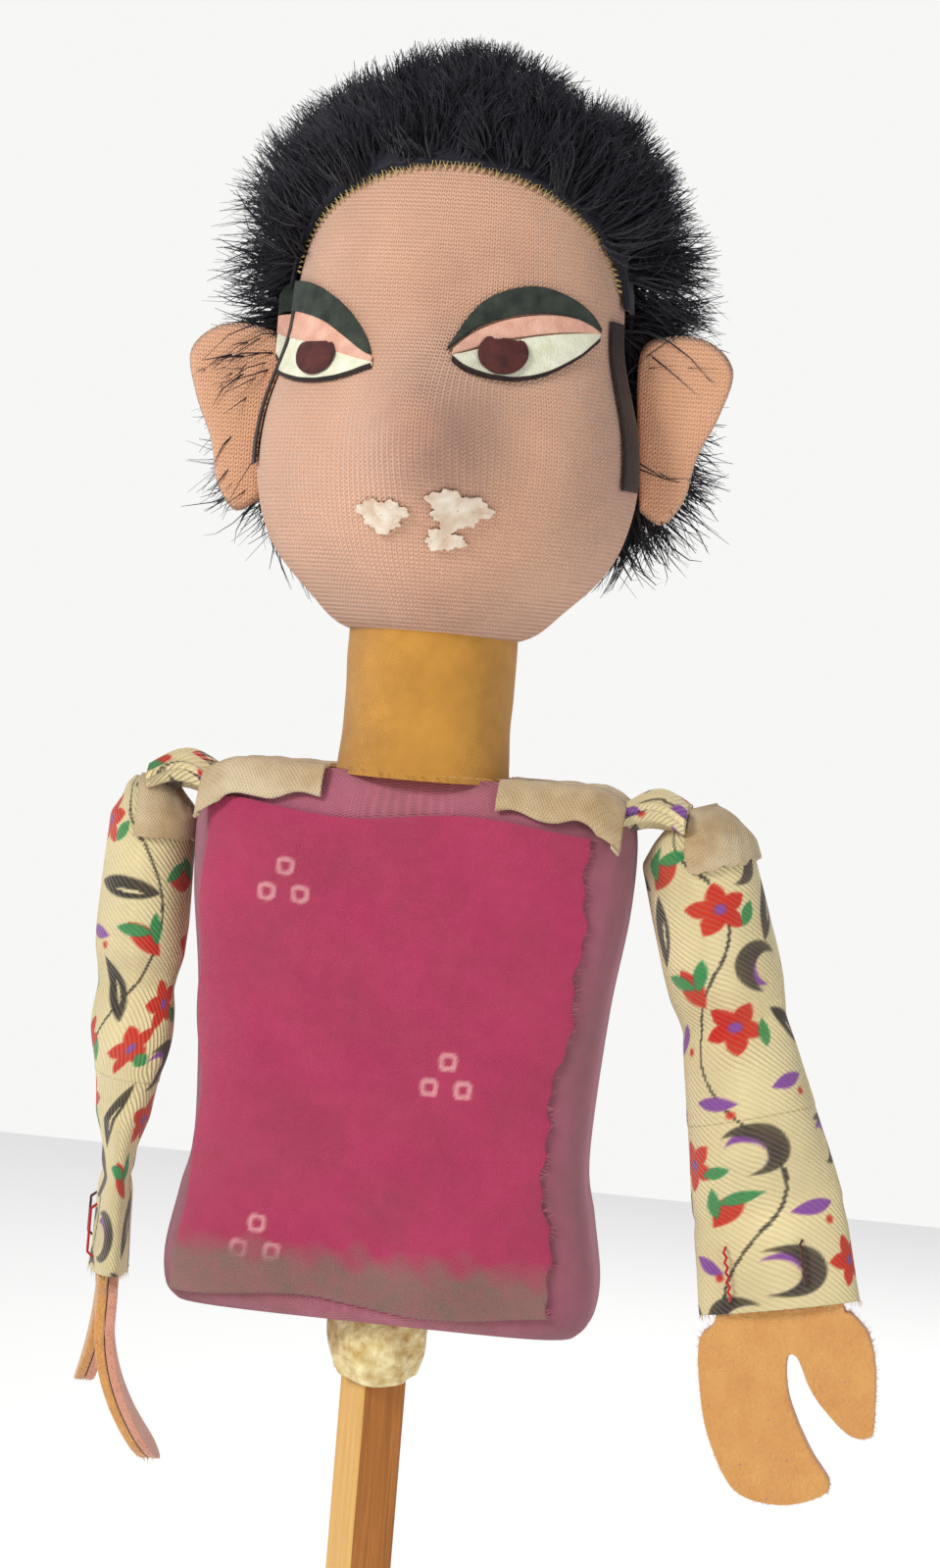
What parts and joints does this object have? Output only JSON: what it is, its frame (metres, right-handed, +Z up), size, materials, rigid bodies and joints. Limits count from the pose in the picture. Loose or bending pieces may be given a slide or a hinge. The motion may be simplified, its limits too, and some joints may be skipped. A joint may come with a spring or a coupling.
{
  "type": "rod puppet",
  "caption": "Stuffed cloth figure on a squared wooden stick, with a knitted head, shaggy wig, tie-dyed foam trunk and two jointed cloth arms that hang from the shoulders.",
  "frame": {"origin": "middle of the stick's foot, the flat end that the hand or stand is under", "axes": "+Z up the stick, +X towards the puppet's left arm, -Y the way the face looks"},
  "size_m": [0.2607, 0.1523, 0.648],
  "materials": {
    "batten_wood": "sawn, smooth pale front face and fibrous brown side face",
    "glued_collar": "cloth stiffened with dried glue",
    "foam": "open foam, hidden",
    "tie_dye": "matt cotton with rings of tie-dyed dots",
    "faded_tie_dye": "matt cotton faded by glue",
    "knit_skin": "knitted stockinette with sprayed brown shading",
    "stuffing": "loose fibre, hidden",
    "neck_cotton": "matt mustard cotton, frayed lower edge",
    "eye_white": "painted cloth",
    "iris": "painted cloth",
    "eyelid": "painted cloth",
    "brow": "dark felt",
    "ear_knit": "knitted stockinette",
    "sideburn": "smooth dark tape",
    "wig_pile": "long shaggy pile",
    "raw_cotton": "unbleached cotton with yellow glue stains",
    "printed_twill": "cream twill with a loose floral print",
    "palm_felt": "fuzzy tan felt",
    "hand_back_felt": "fuzzy pinkish felt"
  },
  "bodies": {
    "figure": {"main_rod": "batten_wood", "rod_collar": "glued_collar", "trunk_core": "foam", "trunk_side_band": "faded_tie_dye", "trunk_front_panel": "tie_dye", "trunk_back_panel": "tie_dye", "head_skin": "knit_skin", "head_core": "foam", "nose_pad": "stuffing", "neck_stuffing": "stuffing", "neck_cover": "neck_cotton", "left_eye_white": "eye_white", "right_eye_white": "eye_white", "left_iris": "iris", "right_iris": "iris", "left_eyelid": "eyelid", "right_eyelid": "eyelid", "left_brow": "brow", "right_brow": "brow", "left_ear": "ear_knit", "right_ear": "ear_knit", "left_sideburn": "sideburn", "right_sideburn": "sideburn", "wig": "wig_pile", "left_shoulder_strip": "raw_cotton", "right_shoulder_strip": "raw_cotton"},
    "left_shoulder": {"left_shoulder_gather": "printed_twill"},
    "left_upper_arm": {"left_upper_sleeve": "printed_twill", "left_upper_arm_stuffing": "stuffing", "left_shoulder_cap": "raw_cotton", "left_elbow_cloth": "printed_twill"},
    "left_forearm": {"left_forearm_sleeve": "printed_twill", "left_forearm_stuffing": "stuffing"},
    "left_hand": {"left_wrist_cloth": "printed_twill", "left_cuff": "printed_twill", "left_hand_palm": "palm_felt", "left_hand_back": "hand_back_felt"},
    "right_shoulder": {"right_shoulder_gather": "printed_twill"},
    "right_upper_arm": {"right_upper_sleeve": "printed_twill", "right_upper_arm_stuffing": "stuffing", "right_shoulder_cap": "raw_cotton", "right_elbow_cloth": "printed_twill"},
    "right_forearm": {"right_forearm_sleeve": "printed_twill", "right_forearm_stuffing": "stuffing"},
    "right_hand": {"right_wrist_cloth": "printed_twill", "right_cuff": "printed_twill", "right_hand_palm": "palm_felt", "right_hand_back": "hand_back_felt"}
  },
  "joints": [
    {"name": "left_shoulder_swing", "type": "hinge", "parent": "figure", "child": "left_shoulder", "pos_m": [0.074, 0, 0.412], "axis": [-1, 0, 0], "range_deg": [-60, 140]},
    {"name": "left_shoulder_spread", "type": "hinge", "parent": "left_shoulder", "child": "left_upper_arm", "pos_m": [0.074, 0, 0.412], "axis": [0, -1, 0], "range_deg": [0, 95]},
    {"name": "left_elbow", "type": "hinge", "parent": "left_upper_arm", "child": "left_forearm", "pos_m": [0.10508, 0, 0.34735], "axis": [-0.9537, 0, -0.3007], "range_deg": [0, 100], "deforming": ["left_elbow_cloth"]},
    {"name": "left_wrist", "type": "hinge", "parent": "left_forearm", "child": "left_hand", "pos_m": [0.12071, 0, 0.28942], "axis": [-0.9655, 0, -0.2605], "range_deg": [-50, 60], "deforming": ["left_wrist_cloth"]},
    {"name": "right_shoulder_swing", "type": "hinge", "parent": "figure", "child": "right_shoulder", "pos_m": [-0.074, 0, 0.412], "axis": [-1, 0, 0], "range_deg": [-60, 140]},
    {"name": "right_shoulder_spread", "type": "hinge", "parent": "right_shoulder", "child": "right_upper_arm", "pos_m": [-0.074, 0, 0.412], "axis": [0, 1, 0], "range_deg": [0, 95]},
    {"name": "right_elbow", "type": "hinge", "parent": "right_upper_arm", "child": "right_forearm", "pos_m": [-0.08715, 0, 0.34132], "axis": [-0.9997, 0, 0.0262], "range_deg": [0, 100], "deforming": ["right_elbow_cloth"]},
    {"name": "right_wrist", "type": "hinge", "parent": "right_forearm", "child": "right_hand", "pos_m": [-0.08873, 0, 0.28134], "axis": [-0.2419, -0.9703, 0.0021], "range_deg": [-60, 15], "deforming": ["right_wrist_cloth"]}
  ]
}
